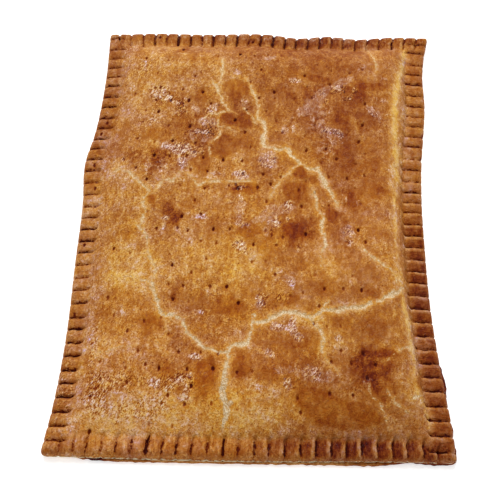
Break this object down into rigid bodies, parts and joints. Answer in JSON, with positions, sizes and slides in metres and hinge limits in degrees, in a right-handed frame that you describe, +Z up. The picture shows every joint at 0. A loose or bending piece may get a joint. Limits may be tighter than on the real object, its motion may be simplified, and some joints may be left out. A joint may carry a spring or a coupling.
{
  "type": "tuna empanada",
  "caption": "Large rectangular tray pie with a low domed, cracked top crust, crimped edges and a flat bottom crust.",
  "frame": {"origin": "centre of the pie's underside, on the surface that it stands on", "axes": "+Z up; +Y along the long side, from the front edge of the picture to the back edge; +X to the right across the short side"},
  "size_m": [0.3037, 0.4098, 0.0264],
  "materials": {
    "top_crust": "egg-washed baked crust, golden brown, half glossy with pale cracks",
    "bottom_crust": "dry baked crust, brown with pale flaky edge"
  },
  "bodies": {
    "root": {"top_crust": "top_crust", "bottom_crust": "bottom_crust"}
  },
  "joints": []
}
